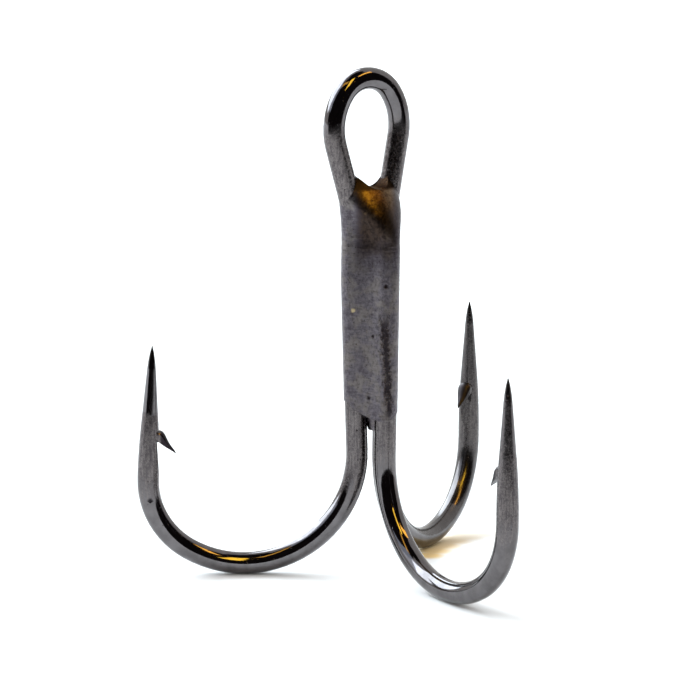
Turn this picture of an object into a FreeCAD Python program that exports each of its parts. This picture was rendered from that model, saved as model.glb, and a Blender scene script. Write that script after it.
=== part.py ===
import FreeCAD, Part
import math
import os
import re
import Sketcher

# Treble fishing hook, in millimetres.
# The origin is on the shank's axis, at the level that the three bends stand on.
# +Z runs up the shank to the eye, and the plain single hook bends out towards -Y.

DIMENSIONS = {
    "wire_diameter": 1.36,
    "shank_radius": 1.12,
    "settle_radius": 40.0,
    "left_azimuth": 150.0,
    "left_lean": 2.35,
    "left_top_radius": 1.52,
    "left_leg_rise": 0.1,
    "right_azimuth": 30.0,
    "right_lean": 0.95,
    "right_top_radius": 1.28,
    "right_leg_rise": 0.7,
    "single_azimuth": 270.0,
    "single_lean": 0.2,
    "single_top_radius": 1.15,
    "single_leg_rise": 0.5,
    "single_shank_top": 20.4,
    "bend_radius": 6.95,
    "corner_radius": 5.04,
    "leg_reach": 14.06,
    "leg_tilt": 1.6,
    "point_length": 8.23,
    "point_flare": 3.4,
    "point_cone_angle": 4.5,
    "point_nose": 1.4,
    "point_tip_radius": 0.03,
    "notch_depth_radius": 0.47,
    "notch_top": 5.98,
    "notch_bottom": 8.1,
    "notch_width": 2.4,
    "barb_angle": 43.2,
    "barb_base_radius": 0.445,
    "barb_base_drop": 5.41,
    "barb_length": 1.8,
    "barb_half_width": 0.42,
    "barb_rise": 0.31,
    "barb_depth": 0.28,
    "eye_root": 18.9,
    "eye_waist": 28.01,
    "eye_top": 31.02,
    "eye_half_width": 2.32,
    "eye_offset": 0.35,
    "eye_crown_radius": 2.0,
    "eye_shoulder_radius": 9.0,
    "eye_wide_angle": 17.0,
    "eye_narrow_angle": 9.5,
    "coat_thickness": 0.055,
    "groove_radius": 3.0,
    "braze_bottom": 10.0,
    "hem_azimuth": -34.0,
    "hem_middle": 0.45,
    "hem_long_radius": 2.9,
    "hem_long_turn": 50.0,
    "hem_short_radius": 1.05,
    "braze_settled": 18.5,
    "braze_upper": 20.7,
    "braze_brow": 21.25,
    "brow_draw": 0.03,
    "braze_saddle": 22.8,
    "braze_top": 25.3,
    "crotch_height": 24.3,
    "crotch_radius": 1.05,
    "crotch_turn": 50.0,
    "crotch_middle": -0.22,
    "crotch_depth": 1.6,
    "saddle_forward": 0.55,
    "saddle_front_radius": 1.6,
    "saddle_groove_radius": 2.0,
    "web_inset": 0.25,
    "web_forward": -0.85,
    "web_front_radius": 1.4,
    "web_groove_radius": 0.8,
    "braze_cut_width": 8.0,
    "core_bottom": 9.2,
    "core_top": 10.8,
    "core_foot_radius": 0.45,
    "core_top_radius": 0.85,
}

doc = FreeCAD.newDocument("TrebleHook")
sheet = doc.addObject("Spreadsheet::Sheet", "Dims")
for row, (alias, size) in enumerate(DIMENSIONS.items(), start=1):
    sheet.set(f"A{row}", alias)
    sheet.set(f"B{row}", str(size))
    sheet.setAlias(f"B{row}", alias)
doc.recompute()


def bound(text):
    """Write the sheet's name in front of each alias in an expression."""
    return re.sub(r"[a-z]+(?:_[a-z]+)+", lambda word: "Dims." + word.group(), text)


def number(text):
    """Work out an expression of the sheet's aliases."""
    return float(sheet.evalExpression(bound(text)))


def attach(body, name, role, base=("0", "0", "0"), axis=(0, 0, 1), angle="0"):
    """Make a sketch on one of the body's origin planes, moved and turned from it."""
    sketch = body.newObject("Sketcher::SketchObject", name)
    plane = next(part for part in body.Origin.OriginFeatures if part.Role == role)
    sketch.AttachmentSupport = (plane, "")
    sketch.MapMode = "FlatFace"
    turn = FreeCAD.Rotation(FreeCAD.Vector(*axis), number(angle))
    moved = FreeCAD.Vector(*(number(text) for text in base))
    sketch.AttachmentOffset = FreeCAD.Placement(moved, turn)
    for direction, text in zip("xyz", base):
        sketch.setExpression(f".AttachmentOffset.Base.{direction}", bound(text))
    sketch.setExpression(".AttachmentOffset.Rotation.Angle", bound(f"({angle}) * 1 deg"))
    return sketch


# A coordinate smaller than this is held on the sketch's axis, because a distance can't be zero.
ON_AXIS = 1e-9


def pin(sketch, piece, end, target):
    """Fix one end of a piece at a place given by two expressions."""
    for kind, axis, text in zip(("DistanceX", "DistanceY"), (-2, -1), target):
        if abs(number(text)) < ON_AXIS:
            sketch.addConstraint(Sketcher.Constraint("PointOnObject", piece, end, axis))
            continue
        index = sketch.addConstraint(Sketcher.Constraint(kind, -1, 1, piece, end, number(text)))
        sketch.setExpression(f"Constraints[{index}]", bound(text))


def arc_between(start, end, radius, side):
    """The shorter arc from start to end that turns to the left (1) or to the right (-1)."""
    chord = end - start
    middle = (start + end) * 0.5
    left = FreeCAD.Vector(-chord.y, chord.x, 0).normalize()
    reach = math.sqrt(max(radius**2 - (chord.Length / 2) ** 2, 0))
    centre = middle + left * (reach * side)
    first, last = (start, end) if side > 0 else (end, start)
    circle = Part.Circle(centre, FreeCAD.Vector(0, 0, 1), radius)
    angles = [math.atan2(point.y - centre.y, point.x - centre.x) for point in (first, last)]
    return Part.ArcOfCircle(circle, angles[0], angles[1])


def trace(sketch, corners, closed):
    """Draw straight lines and arcs through corners.

    A corner is two expressions, and a third and fourth give the radius and the turn
    (1 left, -1 right) of an arc that arrives at it. The first corner of an open trace
    has no piece that arrives at it.
    """
    places = [FreeCAD.Vector(number(corner[0]), number(corner[1]), 0) for corner in corners]
    count = len(corners)
    ends = []
    for step in range(count if closed else count - 1):
        last = (step + 1) % count
        corner = corners[last]
        if len(corner) == 2:
            piece = sketch.addGeometry(Part.LineSegment(places[step], places[last]))
            ends.append((piece, 1, 2))
        else:
            radius, side = corner[2:]
            curve = arc_between(places[step], places[last], number(radius), side)
            piece = sketch.addGeometry(curve)
            index = sketch.addConstraint(Sketcher.Constraint("Radius", piece, number(radius)))
            sketch.setExpression(f"Constraints[{index}]", bound(radius))
            ends.append((piece, 1, 2) if side > 0 else (piece, 2, 1))
    for step, (piece, first, last) in enumerate(ends):
        pin(sketch, piece, last, corners[(step + 1) % count])
        if step + 1 < len(ends):
            following = ends[step + 1]
            joint = (piece, last, following[0], following[1])
            sketch.addConstraint(Sketcher.Constraint("Coincident", *joint))
    piece, first, last = ends[0]
    if closed:
        joint = (ends[-1][0], ends[-1][2], piece, first)
        sketch.addConstraint(Sketcher.Constraint("Coincident", *joint))
    else:
        pin(sketch, piece, first, corners[0])


def wire_section(body, name, base):
    """The round section of the wire, level, where a swept path begins."""
    sketch = attach(body, name, "XY_Plane", base)
    circle = Part.Circle(FreeCAD.Vector(0, 0, 0), FreeCAD.Vector(0, 0, 1), number("wire_diameter / 2"))
    sketch.addGeometry(circle)
    sketch.addConstraint(Sketcher.Constraint("Coincident", 0, 3, -1, 1))
    sketch.addConstraint(Sketcher.Constraint("Diameter", 0, number("wire_diameter")))
    sketch.setExpression("Constraints[1]", bound("wire_diameter"))
    return sketch


def sweep(body, name, section, path):
    """Sweep a section along a path."""
    pipe = body.newObject("PartDesign::AdditivePipe", name)
    pipe.Profile = section
    pipe.Spine = path
    return pipe


# The limb's outline is worked out in the upright plane of one hook: first the distance
# from the shank's axis, then the height.
BEND = ("(shank_radius + bend_radius)", "(wire_diameter / 2 + bend_radius)")
CORNER_ACROSS = "(leg_reach - corner_radius)"
ARC_STEP = "(bend_radius - corner_radius)"
SHARE_ACROSS = f"(({CORNER_ACROSS} - {BEND[0]}) / {ARC_STEP})"
SHARE_DOWN = f"sqrt(1 - {SHARE_ACROSS}^2)"
CORNER = (CORNER_ACROSS, f"({BEND[1]} - {ARC_STEP} * {SHARE_DOWN})")
LEG_BASE = (
    f"({CORNER[0]} + corner_radius * cos(leg_tilt))",
    f"({CORNER[1]} + corner_radius * sin(leg_tilt))",
)


def shank_places(side):
    """The places down one shank: its settled top, the foot of its settling arc, its own foot."""
    lean = f"{side}_lean"
    top = f"{side}_top_radius"
    foot = (
        f"({BEND[0]} - bend_radius * cos({lean}))",
        f"({BEND[1]} + bend_radius * sin({lean}))",
    )
    settle_across = f"({top} - settle_radius * (1 - cos({lean})))"
    settle_height = f"({foot[1]} + ({settle_across} - {foot[0]}) / tan({lean}))"
    settled = (top, f"({settle_height} + settle_radius * sin({lean}))")
    return settled, (settle_across, settle_height), foot


def point_foot(side):
    """Where one hook's point begins, after the leg's short straight rise."""
    rise = f"{side}_leg_rise"
    return (
        f"({LEG_BASE[0]} - {rise} * sin(leg_tilt))",
        f"({LEG_BASE[1]} + {rise} * cos(leg_tilt))",
    )


def limb_wire(body, side, top):
    """The round wire of one hook, from its shank's top to the foot of its point."""
    path = attach(body, body.Name + "Path", "XZ_Plane")
    settled, settle_foot, shank_foot = shank_places(side)
    bend_end = (
        f"({BEND[0]} + bend_radius * {SHARE_ACROSS})",
        f"({BEND[1]} - bend_radius * {SHARE_DOWN})",
    )
    corners = [
        (settled[0], top),
        settled,
        settle_foot + ("settle_radius", -1),
        shank_foot,
        bend_end + ("bend_radius", 1),
        LEG_BASE + ("corner_radius", 1),
        point_foot(side),
    ]
    trace(path, corners, closed=False)
    section = wire_section(body, body.Name + "Section", (settled[0], "0", top))
    sweep(body, body.Name + "Wire", section, path)


# The point is worked out on the leg's own axis, with zero at the point's foot.
FLARE_RADIUS = "(point_flare / sin(point_cone_angle))"
CONE_FOOT = f"(wire_diameter / 2 - {FLARE_RADIUS} * (1 - cos(point_cone_angle)))"
CONE_LENGTH = "(point_length - point_flare - point_nose)"
NOSE_FOOT = f"({CONE_FOOT} - {CONE_LENGTH} * tan(point_cone_angle))"
NOSE_TURN = f"(atan(({NOSE_FOOT} - point_tip_radius) / point_nose) / 1 deg - point_cone_angle)"
NOSE_RADIUS = (
    f"(sqrt(point_nose^2 + ({NOSE_FOOT} - point_tip_radius)^2)"
    f" / (2 * sin({NOSE_TURN})))"
)


def point_sketch(body, side, name):
    """A sketch in the hook's plane with its vertical axis along the leg, zero at the point's foot."""
    return attach(body, name, "XZ_Plane", point_foot(side) + ("0",), angle="leg_tilt")


def limb_point(body, side):
    """The needle point: a flare, a long cone and a rounded nose, turned about the leg."""
    outline = point_sketch(body, side, body.Name + "PointOutline")
    corners = [
        ("0", "0"),
        ("wire_diameter / 2", "0"),
        (CONE_FOOT, "point_flare", FLARE_RADIUS, 1),
        (NOSE_FOOT, "point_length - point_nose"),
        ("point_tip_radius", "point_length", NOSE_RADIUS, 1),
        ("0", "point_length"),
    ]
    trace(outline, corners, closed=True)
    point = body.newObject("PartDesign::Revolution", body.Name + "Point")
    point.Profile = outline
    point.ReferenceAxis = (outline, ["V_Axis"])
    point.Angle = 360.0


def limb_notch(body, side):
    """The flat that is left on the leg's inner side where the barb was raised."""
    outline = point_sketch(body, side, body.Name + "NotchOutline")
    corners = [
        ("-notch_depth_radius", "point_length - notch_top"),
        ("-wire_diameter / 2", "point_length - notch_bottom"),
        ("-wire_diameter", "point_length - notch_bottom"),
        ("-wire_diameter", "point_length - notch_top"),
    ]
    trace(outline, corners, closed=True)
    notch = body.newObject("PartDesign::Pocket", body.Name + "Notch")
    notch.Profile = outline
    notch.Midplane = True
    notch.Length = number("notch_width")
    notch.setExpression("Length", bound("notch_width"))


# Each section of the barb: its distance along the barb as a share of the barb's length, then
# its half width, its rise above the barb's line and its depth below it, as shares of the largest.
BARB_SECTIONS = [
    (0.0, 0.95, 0.61, 0.93),
    (0.2, 1.0, 1.0, 1.0),
    (0.35, 0.9, 0.81, 0.93),
    (0.7, 0.5, 0.32, 0.46),
    (1.0, 0.07, 0.03, 0.07),
]
# The height of a section's rounded back, as a share of its half width.
BARB_CROWN = 0.5


def limb_barb(body, side):
    """The barb: a sliver raised from the leg's inner side, pointing down and towards the shank."""
    tilt = "(leg_tilt + barb_angle)"
    foot = point_foot(side)
    tip = (
        f"({foot[0]} - point_length * sin(leg_tilt))",
        f"({foot[1]} + point_length * cos(leg_tilt))",
    )
    sketches = []
    for index, (share, wide, high, deep) in enumerate(BARB_SECTIONS):
        drop = f"(barb_base_drop + {share} * barb_length * cos(barb_angle))"
        out = f"(barb_base_radius + {share} * barb_length * sin(barb_angle))"
        base = (
            f"{tip[0]} + {drop} * sin(leg_tilt) - {out} * cos(leg_tilt)",
            "0",
            f"{tip[1]} - {drop} * cos(leg_tilt) - {out} * sin(leg_tilt)",
        )
        angle = "leg_tilt + barb_angle - 180"
        section = attach(body, f"{body.Name}Barb{index}", "XY_Plane", base, (0, 1, 0), angle)
        half = f"({wide} * barb_half_width)"
        below = f"(-{deep} * barb_depth)"
        shoulder = f"({high} * barb_rise - {BARB_CROWN} * {half})"
        radius = f"({half} * (1 + {BARB_CROWN}^2) / (2 * {BARB_CROWN}))"
        corners = [
            (below, f"-{half}"),
            (shoulder, f"-{half}"),
            (shoulder, half, radius, 1),
            (below, half),
        ]
        trace(section, corners, closed=True)
        sketches.append(section)
    loft = body.newObject("PartDesign::AdditiveLoft", body.Name + "Barb")
    loft.Profile = sketches[0]
    loft.Sections = sketches[1:]


def place(body, across, back, azimuth):
    """Move a body level and turn it about its upright axis."""
    turn = FreeCAD.Rotation(FreeCAD.Vector(0, 0, 1), number(azimuth))
    body.Placement = FreeCAD.Placement(FreeCAD.Vector(number(across), number(back), 0), turn)
    body.setExpression("Placement.Base.x", bound(across))
    body.setExpression("Placement.Base.y", bound(back))
    body.setExpression("Placement.Rotation.Angle", bound(f"({azimuth}) * 1 deg"))


def limb(name, side, top):
    """One hook: shank, bend, leg, point and barb, turned about the shank's axis."""
    body = doc.addObject("PartDesign::Body", name)
    limb_wire(body, side, top)
    limb_point(body, side)
    limb_notch(body, side)
    limb_barb(body, side)
    place(body, "0", "0", f"{side}_azimuth")
    return body


def wire_top(side):
    """Where a shank wire stands, seen from above, once it has settled upright."""
    return (
        f"({side}_top_radius * cos({side}_azimuth))",
        f"({side}_top_radius * sin({side}_azimuth))",
    )


# The eye is worked out in the upright plane of the two wires that run up into it,
# with zero midway between them.
LEFT_WIRE, RIGHT_WIRE = wire_top("left"), wire_top("right")
EYE_MIDDLE = tuple(f"(({left} + {right}) / 2)" for left, right in zip(LEFT_WIRE, RIGHT_WIRE))
EYE_SPAN = tuple(f"({right} - {left})" for left, right in zip(LEFT_WIRE, RIGHT_WIRE))
EYE_AZIMUTH = f"(atan({EYE_SPAN[1]} / {EYE_SPAN[0]}) / 1 deg)"
WIRE_ACROSS = f"(sqrt({EYE_SPAN[0]}^2 + {EYE_SPAN[1]}^2) / 2)"
EYE_RISE = "(eye_top - eye_waist)"
FLANK_RADIUS = (
    f"(({EYE_RISE}^2 - 2 * {EYE_RISE} * eye_crown_radius + eye_half_width^2)"
    " / (2 * (eye_half_width - eye_crown_radius)))"
)


def eye_side(side, angle):
    """One side of the eye's path: its wire's top, shoulder, slanted leg and flank."""
    middle = f"(-{side} * eye_offset)"
    flank = f"({middle} + {FLANK_RADIUS} - eye_half_width)"
    leg_top = (
        f"({flank} - {FLANK_RADIUS} * cos({angle}))",
        f"(eye_waist - {FLANK_RADIUS} * sin({angle}))",
    )
    shoulder_across = f"(-{WIRE_ACROSS} - eye_shoulder_radius * (1 - cos({angle})))"
    leg_foot_height = f"({leg_top[1]} - ({shoulder_across} - {leg_top[0]}) / tan({angle}))"
    crown = (
        f"({middle} - eye_crown_radius * ({FLANK_RADIUS} - eye_half_width)"
        f" / ({FLANK_RADIUS} - eye_crown_radius))",
        f"(eye_top - eye_crown_radius * (1 - ({EYE_RISE} - eye_crown_radius)"
        f" / ({FLANK_RADIUS} - eye_crown_radius)))",
    )
    places = [
        (f"-{WIRE_ACROSS}", "eye_root"),
        (f"-{WIRE_ACROSS}", f"({leg_foot_height} - eye_shoulder_radius * sin({angle}))"),
        (shoulder_across, leg_foot_height),
        leg_top,
        crown,
    ]
    return [(f"{side} * ({across})", height) for across, height in places]


def eye_loop():
    """The eye: the wire of the double hook, bent over in a teardrop."""
    body = doc.addObject("PartDesign::Body", "EyeLoop")
    path = attach(body, "EyePath", "XZ_Plane")
    left = eye_side(1, "eye_wide_angle")
    right = eye_side(-1, "eye_narrow_angle")
    corners = [
        left[0],
        left[1],
        left[2] + ("eye_shoulder_radius", 1),
        left[3],
        left[4] + (FLANK_RADIUS, -1),
        right[4] + ("eye_crown_radius", -1),
        right[3] + (FLANK_RADIUS, -1),
        right[2],
        right[1] + ("eye_shoulder_radius", 1),
        right[0],
    ]
    trace(path, corners, closed=False)
    section = wire_section(body, "EyeSection", (f"-{WIRE_ACROSS}", "0", "eye_root"))
    sweep(body, "EyeWire", section, path)
    place(body, EYE_MIDDLE[0], EYE_MIDDLE[1], EYE_AZIMUTH)
    return body


def double_hook():
    """Two hooks and the eye between them, bent from one wire."""
    right = limb("RightLimb", "right", "eye_root")
    left = limb("LeftLimb", "left", "eye_root")
    wire = doc.addObject("Part::MultiFuse", "DoubleHook")
    wire.Shapes = [left, right, eye_loop()]
    wire.Refine = True
    wire.Label = "double_hook"
    return wire


def single_hook():
    """The third hook, with a shank that ends inside the braze."""
    body = limb("SingleHook", "single", "single_shank_top")
    body.Label = "single_hook"
    return body


def lobed_outline(sketch, lobes, grooves):
    """Draw a closed outline of round lobes joined by hollow grooves, each tangent to the next.

    A lobe is its centre's two expressions and its radius, counter-clockwise. Each groove
    follows the lobe of the same number, and holds its radius.
    """
    centres = [FreeCAD.Vector(number(lobe[0]), number(lobe[1]), 0) for lobe in lobes]
    radii = [number(lobe[2]) for lobe in lobes]
    hollows = []
    for index, groove in enumerate(grooves):
        following = (index + 1) % len(lobes)
        step = centres[following] - centres[index]
        near = radii[index] + number(groove)
        far = radii[following] + number(groove)
        along = (near**2 - far**2 + step.Length**2) / (2 * step.Length)
        out = math.sqrt(near**2 - along**2)
        ahead = FreeCAD.Vector(step).normalize()
        right = FreeCAD.Vector(ahead.y, -ahead.x, 0)
        hollows.append(centres[index] + ahead * along + right * out)

    def arc(centre, radius, start, end):
        circle = Part.Circle(centre, FreeCAD.Vector(0, 0, 1), radius)
        angles = [math.atan2(point.y - centre.y, point.x - centre.x) for point in (start, end)]
        return sketch.addGeometry(Part.ArcOfCircle(circle, angles[0], angles[1]))

    arcs = []
    for index, lobe in enumerate(lobes):
        arcs.append(arc(centres[index], radii[index], hollows[index - 1], hollows[index]))
        following = (index + 1) % len(lobes)
        start, end = centres[following], centres[index]
        arcs.append(arc(hollows[index], number(grooves[index]), start, end))
    for index, lobe in enumerate(lobes):
        rounded, hollow = arcs[2 * index], arcs[2 * index + 1]
        following = arcs[(2 * index + 2) % len(arcs)]
        sketch.addConstraint(Sketcher.Constraint("Tangent", rounded, 2, hollow, 2))
        sketch.addConstraint(Sketcher.Constraint("Tangent", hollow, 1, following, 1))
        pin(sketch, rounded, 3, lobe[:2])
        for piece, radius in ((rounded, lobe[2]), (hollow, grooves[index])):
            held = sketch.addConstraint(Sketcher.Constraint("Radius", piece, number(radius)))
            sketch.setExpression(f"Constraints[{held}]", bound(radius))


COAT = "(wire_diameter / 2 + coat_thickness)"


def leaning_radius(side, height):
    """How far a leaning shank wire is from the axis at a height."""
    foot = shank_places(side)[2]
    return f"({foot[0]} + ({height} - {foot[1]}) * tan({side}_lean))"


def three_lobes(radii):
    """Lobes round the right, left and single shank wires, which stand out by the radii."""
    sides = ("right", "left", "single")
    return [
        (f"({radius} * cos({side}_azimuth))", f"({radius} * sin({side}_azimuth))", COAT)
        for side, radius in zip(sides, radii)
    ]


def from_eye(across, forward="0"):
    """The place, seen from above, of a point in the eye's own plane or in front of it."""
    return (
        f"({EYE_MIDDLE[0]} + ({across}) * cos({EYE_AZIMUTH}) + ({forward}) * sin({EYE_AZIMUTH}))",
        f"({EYE_MIDDLE[1]} + ({across}) * sin({EYE_AZIMUTH}) - ({forward}) * cos({EYE_AZIMUTH}))",
    )


def saddle_lobes():
    """The braze over the single hook's end, where it draws back between the eye's two wires."""
    lobes = []
    for side, angle in ((-1, "eye_narrow_angle"), (1, "eye_wide_angle")):
        foot = eye_side(side, angle)[1][1]
        drawn = f"sqrt(eye_shoulder_radius^2 - (braze_saddle - {foot})^2)"
        across = f"(-{side} * ({WIRE_ACROSS} + eye_shoulder_radius - {drawn}))"
        lobes.append(from_eye(across) + (COAT,))
    lobes.append(from_eye("0", "saddle_forward") + ("saddle_front_radius",))
    return lobes


def web_lobes():
    """The thin web of braze between the eye's two wires, just over the crotch."""
    lobes = []
    for side, angle in ((-1, "eye_narrow_angle"), (1, "eye_wide_angle")):
        across, height = eye_side(side, angle)[3]
        drawn = f"({across} + {side} * ({height} - braze_top) * tan({angle}))"
        lobes.append(from_eye(drawn) + ("(wire_diameter / 2 - web_inset)",))
    lobes.append(from_eye("0", "web_forward") + ("web_front_radius",))
    return lobes


def braze_section(body, name, height, lobes, grooves):
    """One level section of the braze."""
    sketch = attach(body, name, "XY_Plane", ("0", "0", height))
    lobed_outline(sketch, lobes, grooves)
    return sketch


def loft(body, name, sections, straight=False):
    """Join level sections with a skin that is straight between them, or smooth throughout."""
    skin = body.newObject("PartDesign::AdditiveLoft", name)
    skin.Profile = sections[0]
    skin.Sections = sections[1:]
    skin.Ruled = straight
    return skin


def cut_across(body, name, corners, azimuth):
    """Cut a shape drawn in an upright plane right through the body."""
    outline = attach(body, name + "Outline", "XZ_Plane", axis=(0, 1, 0), angle=azimuth)
    trace(outline, corners, closed=True)
    cut = body.newObject("PartDesign::Pocket", name)
    cut.Profile = outline
    cut.Midplane = True
    cut.Length = number("braze_cut_width")
    cut.setExpression("Length", bound("braze_cut_width"))


def cut_hem(body):
    """The braze's lower edge: a lopsided dip, lowest towards the single hook."""
    side = "(braze_cut_width / 2)"
    long_end = "(hem_middle - hem_long_radius * sin(hem_long_turn))"
    corners = [
        (f"-{side}", "braze_bottom + hem_long_radius * (1 - cos(hem_long_turn))"),
        (long_end, "braze_bottom + hem_long_radius * (1 - cos(hem_long_turn))"),
        ("hem_middle", "braze_bottom", "hem_long_radius", 1),
        ("hem_middle + hem_short_radius", "braze_bottom + hem_short_radius", "hem_short_radius", 1),
        (side, "braze_bottom + hem_short_radius"),
        (side, f"braze_bottom - {side}"),
        (f"-{side}", f"braze_bottom - {side}"),
    ]
    cut_across(body, "BrazeHem", corners, "hem_azimuth")


def cut_crotch(body):
    """The rounded bottom of the eye's opening, with sides that open out until they meet the wires."""
    across = "crotch_radius * sin(crotch_turn)"
    height = "(crotch_height + crotch_radius * (1 - cos(crotch_turn)))"
    rim = "(crotch_height + crotch_depth)"
    spread = f"({across} + ({rim} - {height}) / tan(crotch_turn))"
    corners = [
        (f"crotch_middle - {across}", height),
        (f"crotch_middle + {across}", height, "crotch_radius", 1),
        (f"crotch_middle + {spread}", rim),
        (f"crotch_middle - {spread}", rim),
    ]
    cut_across(body, "BrazeCrotch", corners, EYE_AZIMUTH)


def braze_core(body):
    """The braze that has run down the middle, between the wires, past the lower edge."""
    outline = attach(body, "BrazeCoreOutline", "XZ_Plane")
    corners = [
        ("0", "core_bottom"),
        ("core_foot_radius", "core_bottom"),
        ("core_top_radius", "core_top"),
        ("0", "core_top"),
    ]
    trace(outline, corners, closed=True)
    core = body.newObject("PartDesign::Revolution", "BrazeCore")
    core.Profile = outline
    core.ReferenceAxis = (outline, ["V_Axis"])
    core.Angle = 360.0


def braze_filler():
    """The braze before the wires are taken out of it."""
    body = doc.addObject("PartDesign::Body", "BrazeFiller")
    grooves = ["groove_radius"] * 3
    foot = "(braze_bottom - coat_thickness)"
    leaning = three_lobes([leaning_radius(side, foot) for side in ("right", "left", "single")])
    settled = three_lobes(["right_top_radius", "left_top_radius", "single_top_radius"])
    narrowed = ["groove_radius", "saddle_groove_radius", "saddle_groove_radius"]
    thinned = ["groove_radius", "web_groove_radius", "web_groove_radius"]
    shank = [
        braze_section(body, "BrazeFoot", foot, leaning, grooves),
        braze_section(body, "BrazeSettled", "braze_settled", settled, grooves),
        braze_section(body, "BrazeShoulder", "braze_upper", settled, grooves),
    ]
    loft(body, "BrazeShank", shank, straight=True)
    brow = three_lobes(["right_top_radius", "left_top_radius", "(single_top_radius - brow_draw)"])
    neck = [
        braze_section(body, "BrazeNeckFoot", "braze_upper", settled, grooves),
        braze_section(body, "BrazeBrow", "braze_brow", brow, grooves),
        braze_section(body, "BrazeSaddle", "braze_saddle", saddle_lobes(), narrowed),
        braze_section(body, "BrazeWeb", "braze_top", web_lobes(), thinned),
    ]
    loft(body, "BrazeNeck", neck)
    cut_hem(body)
    braze_core(body)
    cut_crotch(body)
    return body


def shank_braze(wires):
    """The braze that holds the three shanks, with their wires taken out of it."""
    rest = braze_filler()
    for wire in wires:
        cut = doc.addObject("Part::Cut", "BrazeWithout" + wire.Name)
        cut.Base = rest
        cut.Tool = wire
        rest = cut
    rest.Label = "shank_braze"
    return rest


def checked(parts):
    """Recompute, and stop at any object or shape that failed."""
    doc.recompute()
    failed = [item.Name for item in doc.Objects if {"Invalid", "Error"} & set(item.State)]
    if failed:
        raise RuntimeError(f"failed objects: {failed}")
    for part in parts:
        shape = part.Shape
        if shape.isNull() or not shape.isValid() or len(shape.Solids) != 1:
            raise RuntimeError(f"{part.Label} is not one valid solid")
    return parts


wires = [double_hook(), single_hook()]
os.makedirs("parts", exist_ok=True)
for part in checked(wires + [shank_braze(wires)]):
    part.Shape.exportStep(f"parts/{part.Label}.step")
    print(part.Label, round(part.Shape.Volume, 3), "cubic millimetres")
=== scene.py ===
import math

import bpy
from mathutils import Matrix, Vector

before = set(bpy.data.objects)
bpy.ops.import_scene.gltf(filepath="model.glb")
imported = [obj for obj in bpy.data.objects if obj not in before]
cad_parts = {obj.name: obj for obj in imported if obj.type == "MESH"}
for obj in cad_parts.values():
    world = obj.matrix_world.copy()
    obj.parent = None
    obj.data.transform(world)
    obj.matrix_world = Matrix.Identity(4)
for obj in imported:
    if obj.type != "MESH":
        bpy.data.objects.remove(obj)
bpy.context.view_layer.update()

# Lengths are in metres where nothing else is said, and angles are in degrees. An azimuth is
# measured as a view's is: 0 looks along +Y, and 90 looks along -X.
MM = 0.001

# The camera looks at a point on the shank, half way up, from a little above.
CAMERA_AZIMUTH = -33.82
CAMERA_ELEVATION = 11.08
CAMERA_ROLL = 0.714
CAMERA_DISTANCE = 0.2353
CAMERA_LENS = 195.9
CAMERA_CLIP = (0.01, 20.0)
AIM = Vector((-1.351, 0.905, 14.171)) * MM

FLOOR_RADIUS = 4.0
FLOOR_SIDES = 64
LIGHT_DISTANCE = 0.9
WORLD_COLOUR = (1.0, 0.985, 0.965)
WORLD_STRENGTH = 0.95

# Each soft light: name, azimuth from the camera's, elevation, width and height as angles, colour,
# brightness and whether it lights the floor. They stand in a ring round the object.
SOFT_LIGHTS = [
    ("window", -127, 37, 66, 46, (0.82, 0.92, 1.0), 7.2, True),
    ("window_edge", -79, 38, 30, 42, (0.74, 0.84, 1.0), 1.4, False),
    ("warm_left", -34, 61, 26, 7, (1.0, 0.52, 0.07), 3.5, False),
    ("warm_middle", 14, 50, 11, 28, (1.0, 0.60, 0.05), 8.0, False),
    ("warm_right", 68, 60, 28, 8, (1.0, 0.50, 0.07), 8.0, False),
]

# The unlit part of the room, which only the metal shows. Azimuths are from the camera's. The wall
# and the ceiling also span elevations, and the table starts at a distance, just above the floor.
DARK_ROOM_DISTANCE = 1.3
DARK_WALL = (-76, 90, -4, 90)
DARK_CEILING = (-180, 180, 74, 90)
DARK_TABLE = (-62, 80)
DARK_TABLE_START = 0.125
DARK_TABLE_LIFT = 0.3 * MM
SHEET_STEPS = 24

# Colours of the black nickel and of the plated braze, painted shade and a painted reflection
# among them: pairs are the darkest and the palest.
SATIN_NICKEL = ((0.060, 0.053, 0.056), (0.156, 0.140, 0.138))
SMOOTH_NICKEL = ((0.108, 0.101, 0.104), (0.138, 0.130, 0.134))
NICKEL_PIT = (0.014, 0.012, 0.014)
BARB_COLOUR = (0.014, 0.010, 0.014)
# The right hook's colour is painted shade: a darker copy of the same nickel.
RIGHT_HOOK_PAINTED_SHADE = (0.040, 0.038, 0.034)
COOL_BRAZE = ((0.058, 0.050, 0.058), (0.150, 0.138, 0.152))
WARM_BRAZE = ((0.058, 0.049, 0.047), (0.148, 0.134, 0.132))
SHADED_BRAZE = (0.034, 0.027, 0.032)
# The neck between the eye's wires: a painted gold reflection above and painted shade below.
PAINTED_GOLD_REFLECTION = ((0.060, 0.036, 0.022), (0.165, 0.112, 0.062))
PAINTED_NECK_SHADE = ((0.012, 0.008, 0.006), (0.040, 0.027, 0.020))
# The right side of the neck's painted shade is painted lighter.
PAINTED_SIDE_LIGHT = (0.110, 0.084, 0.068)
# Painted shade on the rim in the eye's crotch, and a dark tint that dims its edge reflections as painted
# shade too.
RIM_PAINTED_SHADE = (0.020, 0.015, 0.013)
RIM_SHADE_TINT = (0.10, 0.11, 0.12)
BRAZE_PIT = (0.012, 0.009, 0.010)
FLECK_COLOUR = (0.42, 0.34, 0.20)

# Colours of the surroundings, and how much their second shade differs from the first.
FLOOR_COLOUR = (0.86, 0.86, 0.855)
FLOOR_SHADE = 0.985
GLINT_COLOUR = (0.86, 0.60, 0.24)
DARK_COLOUR = (0.014, 0.011, 0.012)
DARK_SHADE = 1.9
WHITE = (1.0, 1.0, 1.0)
BLACK = (0.0, 0.0, 0.0)
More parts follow.
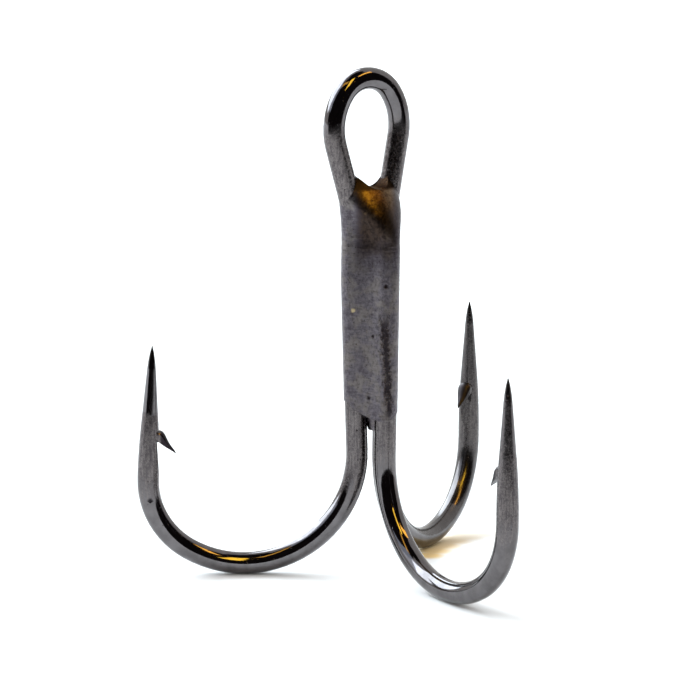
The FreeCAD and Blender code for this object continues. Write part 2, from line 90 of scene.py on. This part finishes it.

# Where the finish, the painted shade and the painted reflection change, in millimetres: each
# pair is where a change starts and where it is complete. A reach is a distance from the shank's
# axis, and a side is a place along x or y.
SATIN_HEIGHT = (4.0, 6.6)
SINGLE_SATIN_LIFT = 2.2
SINGLE_HOOK_SIDE = (-0.8, -1.2)
SINGLE_BEND_REACH = (8.0, 6.0)
CROWN_HEIGHT = (27.2, 29.2)
POINT_HEIGHT = (9.8, 10.8)
POINT_REACH = (7.5, 8.5)
LEFT_HOOK_SIDE = (-4.0, -6.0)
BARB_REACH = (13.38, 13.22)
BARB_HEIGHT = (6.6, 7.2)
LIMB_REACH = (8.0, 9.0)
RIGHT_HOOK_SIDE = (3.0, 5.0)
BACK_SIDE = (1.0, 2.5)
NECK_SIDE = (1.0, 0.4)
NECK_HALF_WIDTH = (1.3, 0.75)
NECK_MIDDLE = -0.1
NECK_LEFT = (-1.55, -1.15)
NECK_RIGHT = (0.2, 0.9)
SHADED_HEIGHT = (18.2, 21.0)
PAINTED_NECK_HEIGHT = (20.0, 21.9)
PAINTED_GOLD_HEIGHT = (22.7, 23.5)
RIM_HEIGHT = (24.15, 24.4)
WORN_HEIGHT = (13.0, 12.0)
NECK_FOOT = (19.6, 20.6)
NECK_TOP = (22.4, 21.2)
# The direction across the neck from left to right: its shares of x and y.
NECK_ACROSS = (0.83, -0.56)
# How far noise moves those changes, in millimetres.
WIRE_WANDER = 3.0
WIRE_RAGGED = 5.0
BRAZE_WANDER = 2.4
NECK_RAGGED = 0.8

# The noise values between which a colour goes from its darkest to its palest.
TONE_RANGE = (0.38, 0.62)
MOTTLE_RANGE = (0.36, 0.64)
# Roughness: smooth wire on the two nearer hooks and on the right one, then each satin metal at
# its smoothest and roughest, then the metal under the neck's painted reflection and shade, below
# the rim and on it.
SMOOTH_ROUGHNESS = (0.07, 0.22)
SATIN_ROUGHNESS = (0.17, 0.33)
RIGHT_BARB_ROUGHER = 0.2
BRAZE_ROUGHNESS = (0.25, 0.42)
NECK_ROUGHNESS = (0.32, 0.5)
# How strongly each of these covers what is under it.
BARB_SHARE = 0.93
RIGHT_HOOK_SHADE_SHARE = 0.35
PAINTED_NECK_SHARE = 0.92
RIM_SHADE_SHARE = 0.85
RUN_SHARE = 0.85
OTHER_POINTS_SHARE = 0.3
LEAST_PITTING = 0.5

# Marks, in millimetres: a place and a radius.
BRAZE_SPOTS = [
    ((-0.5, -1.7, 18.5), 0.16),
    ((-0.9, -0.9, 15.3), 0.13),
    ((-1.0, -0.7, 11.4), 0.15),
    ((-1.2, -0.9, 19.6), 0.12),
    ((0.3, -1.7, 13.2), 0.11),
]
BRAZE_FLECK = ((-1.7, 0.1, 16.8), 0.17)
# The dark run down the single hook's shank: the x and the height of its top and of its foot, how
# far it wanders, where its edge fades out across it and at its ends, and the side that it is on.
BRAZE_RUN = ((-0.53, 16.9), (-0.24, 10.3))
RUN_WANDER = 0.9
RUN_WIDTH = (0.26, 0.04)
RUN_TOP_FADE = (0.4, -1.2)
RUN_FOOT_FADE = (-0.3, 0.5)
RUN_SIDE = (-1.0, -1.3)
LEG_PIT = ((-12.4, 6.4, 4.85), 0.17)
# Where the floor catches gold light thrown off the bend behind, and the stretch along x over
# which that light fades.
FLOOR_GLINTS = [
    ((5.6, 1.9, 0.0), 1.2),
    ((6.6, 2.8, 0.0), 1.5),
    ((7.8, 3.7, 0.0), 1.7),
    ((9.2, 4.4, 0.0), 1.7),
    ((10.6, 4.8, 0.0), 1.6),
    ((12.0, 4.9, 0.0), 1.5),
]
GLINT_FADE = (5.0, 13.5)
GLINT_STRENGTH = (0.9, 0.15)
# A spot's edge: the grain and depth of its raggedness, the width of its fade, and its full core
# as a share of its radius with a least width added.
SPOT_GRAIN = 7.0
SPOT_RAGGED = 0.16
SPOT_FADE = 0.11
SPOT_CORE_SHARE = 0.4
SPOT_CORE_LEAST = 0.06


def direction(azimuth, elevation):
    """The unit vector from the object towards a view's place."""
    across = math.cos(math.radians(elevation))
    turn = math.radians(azimuth)
    return Vector((math.sin(turn) * across, -math.cos(turn) * across, math.sin(math.radians(elevation))))


def add(name, data):
    """A new object in the scene."""
    thing = bpy.data.objects.new(name, data)
    bpy.context.scene.collection.objects.link(thing)
    return thing


def mesh_object(name, points, faces):
    """A new mesh object from points and faces."""
    mesh = bpy.data.meshes.new(name)
    mesh.from_pydata(points, [], faces)
    mesh.update()
    return add(name, mesh)


# Materials


# The colour sockets of a Mix node, which share their names with its other sockets.
MIX_FIRST, MIX_SECOND, MIX_RESULT = 6, 7, 2


class Nodes:
    """The nodes of one material, with places measured in millimetres from the object's origin."""

    def __init__(self, name):
        self.material = bpy.data.materials.new(name)
        self.material.use_nodes = True
        self.tree = self.material.node_tree
        self.shader = self.tree.nodes["Principled BSDF"]
        coordinates = self.tree.nodes.new("ShaderNodeTexCoord")
        self.place = self.vector("MULTIPLY", coordinates.outputs["Object"], (1 / MM,) * 3)
        parts = self.tree.nodes.new("ShaderNodeSeparateXYZ")
        self.tree.links.new(self.place, parts.inputs[0])
        self.x, self.y, self.z = parts.outputs

    def feed(self, socket, value):
        """Link an output to a socket, or set a plain value on it."""
        if isinstance(value, bpy.types.NodeSocket):
            self.tree.links.new(value, socket)
        elif isinstance(value, tuple) and socket.type == "RGBA":
            socket.default_value = value + (1.0,)
        else:
            socket.default_value = value

    def vector(self, operation, first, second):
        """A vector worked out from two others."""
        node = self.tree.nodes.new("ShaderNodeVectorMath")
        node.operation = operation
        self.feed(node.inputs[0], first)
        self.feed(node.inputs[1], second)
        return node.outputs[0]

    def math(self, operation, first, second=0.0):
        """A value worked out from one or two others."""
        node = self.tree.nodes.new("ShaderNodeMath")
        node.operation = operation
        self.feed(node.inputs[0], first)
        self.feed(node.inputs[1], second)
        return node.outputs[0]

    def fold(self, operation, values):
        """Combine several values, one after another, with one operation."""
        result, *others = values
        for value in others:
            result = self.math(operation, result, value)
        return result

    def times(self, *values):
        """The product of several values."""
        return self.fold("MULTIPLY", values)

    def plus(self, *values):
        """The sum of several values."""
        return self.fold("ADD", values)

    def strongest(self, *values):
        """The largest of several values."""
        return self.fold("MAXIMUM", values)

    def inverse(self, share):
        """What is left of 1 when a share is taken away."""
        return self.math("SUBTRACT", 1.0, share)

    def swing(self, noise, spread):
        """A noise of 0 to 1 spread evenly to both sides of 0."""
        return self.times(self.math("SUBTRACT", noise, 0.5), spread)

    def step(self, value, start, end, low=0.0, high=1.0):
        """Rise smoothly from low at start to high at end."""
        node = self.tree.nodes.new("ShaderNodeMapRange")
        node.interpolation_type = "SMOOTHSTEP"
        for index, item in enumerate((value, start, end, low, high)):
            self.feed(node.inputs[index], item)
        return node.outputs[0]

    def noise(self, scale, stretch=(1, 1, 1), detail=4.0, rough=0.6, shift=0.0):
        """Noise with a number of grains to the millimetre, drawn out along an axis."""
        node = self.tree.nodes.new("ShaderNodeTexNoise")
        moved = self.vector("ADD", self.vector("MULTIPLY", self.place, stretch), (shift,) * 3)
        self.feed(node.inputs["Vector"], moved)
        self.feed(node.inputs["Scale"], scale)
        self.feed(node.inputs["Detail"], detail)
        self.feed(node.inputs["Roughness"], rough)
        return node.outputs["Fac"]

    def pits(self, scale, size, share, shift=0.0):
        """Scattered round pits: 1 in a pit and 0 around it. A share of the cells has one."""
        cells = self.tree.nodes.new("ShaderNodeTexVoronoi")
        moved = self.vector("ADD", self.place, (shift,) * 3)
        self.feed(cells.inputs["Vector"], moved)
        self.feed(cells.inputs["Scale"], scale)
        parts = self.tree.nodes.new("ShaderNodeSeparateColor")
        self.tree.links.new(cells.outputs["Color"], parts.inputs[0])
        chosen = self.math("LESS_THAN", parts.outputs[0], share)
        width = self.times(parts.outputs[1], size)
        inside = self.step(cells.outputs["Distance"], width, 0.0)
        return self.times(inside, chosen)

    def spot(self, mark):
        """A soft, slightly ragged spot at a place: 1 in its core and 0 a little beyond its radius."""
        centre, radius = mark
        away = self.tree.nodes.new("ShaderNodeVectorMath")
        away.operation = "DISTANCE"
        self.feed(away.inputs[0], self.place)
        self.feed(away.inputs[1], centre)
        ragged = self.plus(away.outputs["Value"], self.times(self.noise(SPOT_GRAIN), SPOT_RAGGED))
        return self.step(ragged, radius + SPOT_FADE, radius * SPOT_CORE_SHARE + SPOT_CORE_LEAST)

    def rounded_edges(self, radius_mm, share):
        """The surface's direction, as though its edges were worn round where the share is 1."""
        node = self.tree.nodes.new("ShaderNodeBevel")
        node.samples = 4
        self.feed(node.inputs["Radius"], radius_mm * MM)
        plain = self.tree.nodes.new("ShaderNodeNewGeometry").outputs["Normal"]
        turned = self.vector("SUBTRACT", node.outputs[0], plain)
        return self.vector("ADD", plain, self.vector("MULTIPLY", turned, share))

    def mix(self, factor, first, second):
        """Blend from the first colour to the second."""
        node = self.tree.nodes.new("ShaderNodeMix")
        node.data_type = "RGBA"
        self.feed(node.inputs["Factor"], factor)
        self.feed(node.inputs[MIX_FIRST], first)
        self.feed(node.inputs[MIX_SECOND], second)
        return node.outputs[MIX_RESULT]

    def bump(self, height, depth_mm, strength=1.0, below=None):
        """Raise the surface by a height from 0 to 1 over a depth in millimetres."""
        node = self.tree.nodes.new("ShaderNodeBump")
        self.feed(node.inputs["Strength"], strength)
        self.feed(node.inputs["Distance"], depth_mm * MM)
        self.feed(node.inputs["Height"], height)
        if below is not None:
            self.feed(node.inputs["Normal"], below)
        return node.outputs[0]

    def finish(self, **sockets):
        """Feed the shader's sockets and hand the material over."""
        for name, value in sockets.items():
            self.feed(self.shader.inputs[name.replace("_", " ")], value)
        return self.material


def dark_wire_parts(n, out):
    """The barbs, which are darker, and the right hook, which gets painted shade: a share of 1 on each.
    """
    barb = n.times(n.step(out, *BARB_REACH), n.step(n.z, *BARB_HEIGHT), n.step(out, *LIMB_REACH))
    shaded_right_hook = n.times(n.step(n.x, *RIGHT_HOOK_SIDE), n.step(n.y, *BACK_SIDE))
    return barb, shaded_right_hook


def satin_share(n, out, clouds, streaks):
    """How satin the wire is: 0 on the bends, the eye's crown and the points, and 1 between them."""
    wander = n.swing(clouds, WIRE_WANDER)
    height = n.plus(n.z, wander, n.swing(streaks, WIRE_RAGGED))
    single_bend = n.times(n.step(n.y, *SINGLE_HOOK_SIDE), n.step(out, *SINGLE_BEND_REACH))
    lifted = n.math("SUBTRACT", height, n.times(single_bend, SINGLE_SATIN_LIFT))
    straight = n.step(lifted, *SATIN_HEIGHT)
    crown = n.step(n.z, *CROWN_HEIGHT)
    point = n.times(n.step(out, *POINT_REACH), n.step(n.plus(n.z, wander), *POINT_HEIGHT))
    point = n.times(point, n.step(n.x, *LEFT_HOOK_SIDE, low=OTHER_POINTS_SHARE))
    return n.times(straight, n.inverse(n.strongest(crown, point)))


def wire_material():
    """Smoked black nickel on round wire: bright on the bends and points, satin and pitted between."""
    n = Nodes("black_nickel_wire")
    out = n.math("SQRT", n.plus(n.times(n.x, n.x), n.times(n.y, n.y)))
    clouds = n.noise(1.1, detail=3.0, shift=7.0)
    streaks = n.noise(9.0, stretch=(1, 1, 0.12), detail=5.0, rough=0.65)
    mottle = n.noise(6.5, detail=6.0, rough=0.72, shift=5.0)
    grain = n.noise(22.0, detail=2.0, shift=3.0)
    pits = n.strongest(n.pits(2.6, 0.20, 0.55), n.pits(5.0, 0.20, 0.35, shift=11.0))
    satin = satin_share(n, out, clouds, streaks)
    barb, shaded_right_hook = dark_wire_parts(n, out)
    dull = n.strongest(satin, LEAST_PITTING)
    marked = n.strongest(n.times(pits, dull), n.spot(LEG_PIT))

    tone = n.plus(n.times(streaks, 0.5), n.times(mottle, 0.5))
    satin_colour = n.mix(n.step(tone, *TONE_RANGE), *SATIN_NICKEL)
    smooth_colour = n.mix(n.step(clouds, 0.35, 0.65), *SMOOTH_NICKEL)
    colour = n.mix(satin, smooth_colour, satin_colour)
    colour = n.mix(marked, colour, NICKEL_PIT)
    colour = n.mix(n.times(barb, BARB_SHARE), colour, BARB_COLOUR)
    # Painted shade over the right hook.
    colour = n.mix(n.times(shaded_right_hook, RIGHT_HOOK_SHADE_SHARE), colour, RIGHT_HOOK_PAINTED_SHADE)

    smooth_roughness = n.step(shaded_right_hook, 0.0, 1.0, *SMOOTH_ROUGHNESS)
    satin_roughness = n.step(mottle, 0.30, 0.70, *SATIN_ROUGHNESS)
    satin_roughness = n.plus(satin_roughness, n.times(shaded_right_hook, barb, RIGHT_BARB_ROUGHER))
    roughness = n.step(n.strongest(satin, barb), 0.0, 1.0, smooth_roughness, satin_roughness)

    fine = n.bump(grain, 0.0012, strength=n.times(dull, 0.8))
    lined = n.bump(streaks, 0.0035, strength=n.step(satin, 0.0, 1.0, low=0.06, high=0.7), below=fine)
    dented = n.bump(n.inverse(marked), 0.02, below=lined)
    return n.finish(Base_Color=colour, Metallic=1.0, Roughness=roughness, Normal=dented)


def braze_run(n, mottle):
    """The irregular dark run that goes down the single hook's side of the braze."""
    (top_across, top), (foot_across, foot) = BRAZE_RUN
    line = n.step(n.z, foot, top, foot_across, top_across)
    away = n.math("ABSOLUTE", n.math("SUBTRACT", n.x, line))
    width = n.step(n.plus(away, n.swing(mottle, RUN_WANDER)), *RUN_WIDTH)
    above_foot = n.step(n.z, *(foot + fade for fade in RUN_FOOT_FADE))
    below_top = n.step(n.z, *(top + fade for fade in RUN_TOP_FADE))
    return n.times(width, n.times(above_foot, below_top), n.step(n.y, *RUN_SIDE))


def braze_colour(n, mottle, ripples, clouds):
    """The braze's colour without its marks, and where the neck has painted reflection and shade."""
    height = n.plus(n.z, n.swing(clouds, BRAZE_WANDER))
    level = n.plus(n.times(n.x, NECK_ACROSS[0]), n.times(n.y, NECK_ACROSS[1]))
    across = n.plus(level, n.swing(mottle, NECK_RAGGED))
    near_side = n.step(n.y, *NECK_SIDE)

    tone = n.plus(n.times(mottle, 0.5), n.times(clouds, 0.3), n.times(ripples, 0.2))
    cool = n.mix(n.step(tone, *TONE_RANGE), *COOL_BRAZE)
    warm = n.mix(n.step(tone, *TONE_RANGE), *WARM_BRAZE)
    grey = n.mix(n.step(clouds, 0.44, 0.62), cool, warm)
    hollow = n.times(n.step(across, *NECK_LEFT), near_side)
    uneven = n.step(mottle, 0.3, 0.7, low=0.95, high=0.7)
    shaded = n.times(n.step(height, *SHADED_HEIGHT), uneven, hollow)
    grey = n.mix(shaded, grey, SHADED_BRAZE)

    from_middle = n.math("ABSOLUTE", n.math("SUBTRACT", across, NECK_MIDDLE))
    between = n.step(from_middle, *NECK_HALF_WIDTH)
    # Painted light on the neck between the wires: a painted gold reflection above, painted shade below.
    painted_neck = n.times(between, near_side, n.step(height, *PAINTED_NECK_HEIGHT))
    upper = n.mix(n.step(mottle, *MOTTLE_RANGE), *PAINTED_GOLD_REFLECTION)
    lower = n.mix(n.step(mottle, *MOTTLE_RANGE), *PAINTED_NECK_SHADE)
    # The right side is painted lighter.
    lower = n.mix(n.step(across, *NECK_RIGHT), lower, PAINTED_SIDE_LIGHT)
    painted_neck_colour = n.mix(n.step(height, *PAINTED_GOLD_HEIGHT), lower, upper)
    return n.mix(n.times(painted_neck, PAINTED_NECK_SHARE), grey, painted_neck_colour), painted_neck


def braze_material():
    """Plated braze: satin, mottled, with painted reflection and shade between the eye's wires and marks
    down one side.
    """
    n = Nodes("plated_braze")
    mottle = n.noise(5.5, stretch=(1, 1, 0.75), detail=7.0, rough=0.74)
    ripples = n.noise(4.0, stretch=(0.5, 0.5, 2.6), detail=4.0, rough=0.6, shift=13.0)
    clouds = n.noise(1.2, detail=3.0, shift=4.0)
    grain = n.noise(24.0, detail=3.0, shift=9.0)
    pits = n.strongest(n.pits(2.4, 0.19, 0.45, shift=2.0), n.pits(5.5, 0.20, 0.35, shift=6.0))
    spots = n.strongest(*(n.spot(mark) for mark in BRAZE_SPOTS))
    marked = n.strongest(pits, spots, n.times(braze_run(n, mottle), RUN_SHARE))
    rim = n.step(n.z, *RIM_HEIGHT)

    colour, painted_neck = braze_colour(n, mottle, ripples, clouds)
    # Painted shade on the rim in the crotch.
    colour = n.mix(n.times(rim, RIM_SHADE_SHARE), colour, RIM_PAINTED_SHADE)
    colour = n.mix(marked, colour, BRAZE_PIT)
    colour = n.mix(n.spot(BRAZE_FLECK), colour, FLECK_COLOUR)
    # The rim's dimmed edge reflections are painted shade.
    shaded_edge_tint = n.mix(rim, WHITE, RIM_SHADE_TINT)

    satin_roughness = n.step(mottle, 0.28, 0.72, *BRAZE_ROUGHNESS)
    neck_roughness = n.step(rim, 0.0, 1.0, *NECK_ROUGHNESS)
    roughness = n.step(painted_neck, 0.0, 1.0, satin_roughness, neck_roughness)

    neck = n.times(n.step(n.z, *NECK_FOOT), n.step(n.z, *NECK_TOP))
    worn = n.rounded_edges(0.07, n.step(n.z, *WORN_HEIGHT))
    fine = n.bump(grain, 0.0018, strength=0.8, below=worn)
    rough = n.bump(mottle, 0.014, strength=0.8, below=fine)
    wavy = n.bump(ripples, 0.016, strength=n.step(neck, 0.0, 1.0, low=0.6, high=0.9), below=rough)
    clouded = n.bump(clouds, 0.30, strength=n.times(neck, 0.12), below=wavy)
    dented = n.bump(n.inverse(marked), 0.03, below=clouded)
    return n.finish(
        Base_Color=colour, Metallic=1.0, Roughness=roughness, Specular_Tint=shaded_edge_tint, Normal=dented
    )


def floor_material():
    """White card with the faintest grain, and the gold light that falls on it."""
    n = Nodes("white_card")
    shade = n.step(n.noise(0.05, detail=3.0), 0.3, 0.7)
    colour = n.mix(shade, FLOOR_COLOUR, tuple(FLOOR_SHADE * part for part in FLOOR_COLOUR))
    glints = n.strongest(*(n.spot(glint) for glint in FLOOR_GLINTS))
    glints = n.times(glints, n.step(n.x, *GLINT_FADE, *GLINT_STRENGTH))
    colour = n.mix(glints, colour, GLINT_COLOUR)
    grain = n.bump(n.noise(3.0), 0.004, strength=0.3)
    return n.finish(Base_Color=colour, Roughness=0.9, Normal=grain, Specular_IOR_Level=0.0)


def room_material():
    """The faint glow of an unlit room, uneven from place to place."""
    n = Nodes("dark_room")
    shade = n.step(n.noise(0.006, detail=3.0), 0.35, 0.65)
    glow = n.mix(shade, DARK_COLOUR, tuple(DARK_SHADE * part for part in DARK_COLOUR))
    return n.finish(
        Base_Color=BLACK, Emission_Color=glow, Emission_Strength=1.0, Specular_IOR_Level=0.0
    )


# Surroundings


def mirrored_only(thing):
    """Show a thing in the metal's reflections and nowhere else."""
    thing.visible_camera = False
    thing.visible_diffuse = False
    thing.visible_transmission = False
    thing.visible_volume_scatter = False
    thing.visible_shadow = False


def dark_patch(name, span, place, material):
    """A sheet over a span of azimuths and a span of elevations or distances, put where place says."""
    azimuth_start, azimuth_end, start, end = span
    points, faces = [], []
    for row in range(SHEET_STEPS + 1):
        for column in range(SHEET_STEPS + 1):
            azimuth = azimuth_start + (azimuth_end - azimuth_start) * column / SHEET_STEPS
            other = start + (end - start) * row / SHEET_STEPS
            points.append(place(CAMERA_AZIMUTH + azimuth, other))
    for row in range(SHEET_STEPS):
        for column in range(SHEET_STEPS):
            first = row * (SHEET_STEPS + 1) + column
            above = first + SHEET_STEPS + 1
            faces.append((first, first + 1, above + 1, above))
    patch = mesh_object(name, points, faces)
    patch.data.materials.append(material)
    mirrored_only(patch)


def make_dark_room():
    """The unlit walls, ceiling and table edge on the camera's side."""
    material = room_material()

    def on_dome(azimuth, elevation):
        return direction(azimuth, elevation) * DARK_ROOM_DISTANCE

    def on_table(azimuth, distance):
        return direction(azimuth, 0) * distance + Vector((0, 0, DARK_TABLE_LIFT))

    dark_patch("dark_wall", DARK_WALL, on_dome, material)
    dark_patch("dark_ceiling", DARK_CEILING, on_dome, material)
    table = DARK_TABLE + (DARK_TABLE_START, DARK_ROOM_DISTANCE)
    dark_patch("dark_table", table, on_table, material)


def make_lights():
    """The world's even light and the soft lights round the object."""
    world = bpy.data.worlds.new("studio")
    world.use_nodes = True
    background = world.node_tree.nodes["Background"]
    background.inputs["Color"].default_value = WORLD_COLOUR + (1.0,)
    background.inputs["Strength"].default_value = WORLD_STRENGTH
    bpy.context.scene.world = world
    for name, azimuth, elevation, width, height, colour, brightness, on_floor in SOFT_LIGHTS:
        light = bpy.data.lights.new(name, "AREA")
        light.shape = "RECTANGLE"
        light.size = 2 * LIGHT_DISTANCE * math.tan(math.radians(width / 2))
        light.size_y = 2 * LIGHT_DISTANCE * math.tan(math.radians(height / 2))
        light.energy = brightness * math.pi * light.size * light.size_y
        light.color = colour
        lamp = add(name, light)
        towards = direction(CAMERA_AZIMUTH + azimuth, elevation)
        lamp.location = towards * LIGHT_DISTANCE
        lamp.rotation_euler = (-towards).to_track_quat("-Z", "Y").to_euler()
        lamp.visible_camera = False
        lamp.visible_diffuse = on_floor


def make_floor():
    """A wide round floor at the level that the three bends stand on."""
    points = [direction(360 * side / FLOOR_SIDES, 0) * FLOOR_RADIUS for side in range(FLOOR_SIDES)]
    floor = mesh_object("floor", points, [tuple(reversed(range(FLOOR_SIDES)))])
    floor.data.materials.append(floor_material())


def make_camera():
    """The camera, aimed at the middle of the shank."""
    camera = bpy.data.cameras.new("camera")
    camera.lens = CAMERA_LENS
    camera.clip_start, camera.clip_end = CAMERA_CLIP
    holder = add("camera", camera)
    back = direction(CAMERA_AZIMUTH, CAMERA_ELEVATION)
    right = Vector((0, 0, 1)).cross(back).normalized()
    turn = Matrix.Rotation(math.radians(CAMERA_ROLL), 3, back)
    across = turn @ right
    axes = Matrix((across, back.cross(across), back)).transposed()
    holder.matrix_world = Matrix.Translation(AIM + back * CAMERA_DISTANCE) @ axes.to_4x4()
    bpy.context.scene.camera = holder


def paint(node, material):
    """Give a CAD node its material."""
    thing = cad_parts[node]
    for slot in thing.material_slots:
        slot.material = material


bpy.context.scene.view_settings.view_transform = "Standard"
make_camera()
make_floor()
make_dark_room()
make_lights()

wire = wire_material()
paint("double_hook", wire)
paint("single_hook", wire)
paint("shank_braze", braze_material())
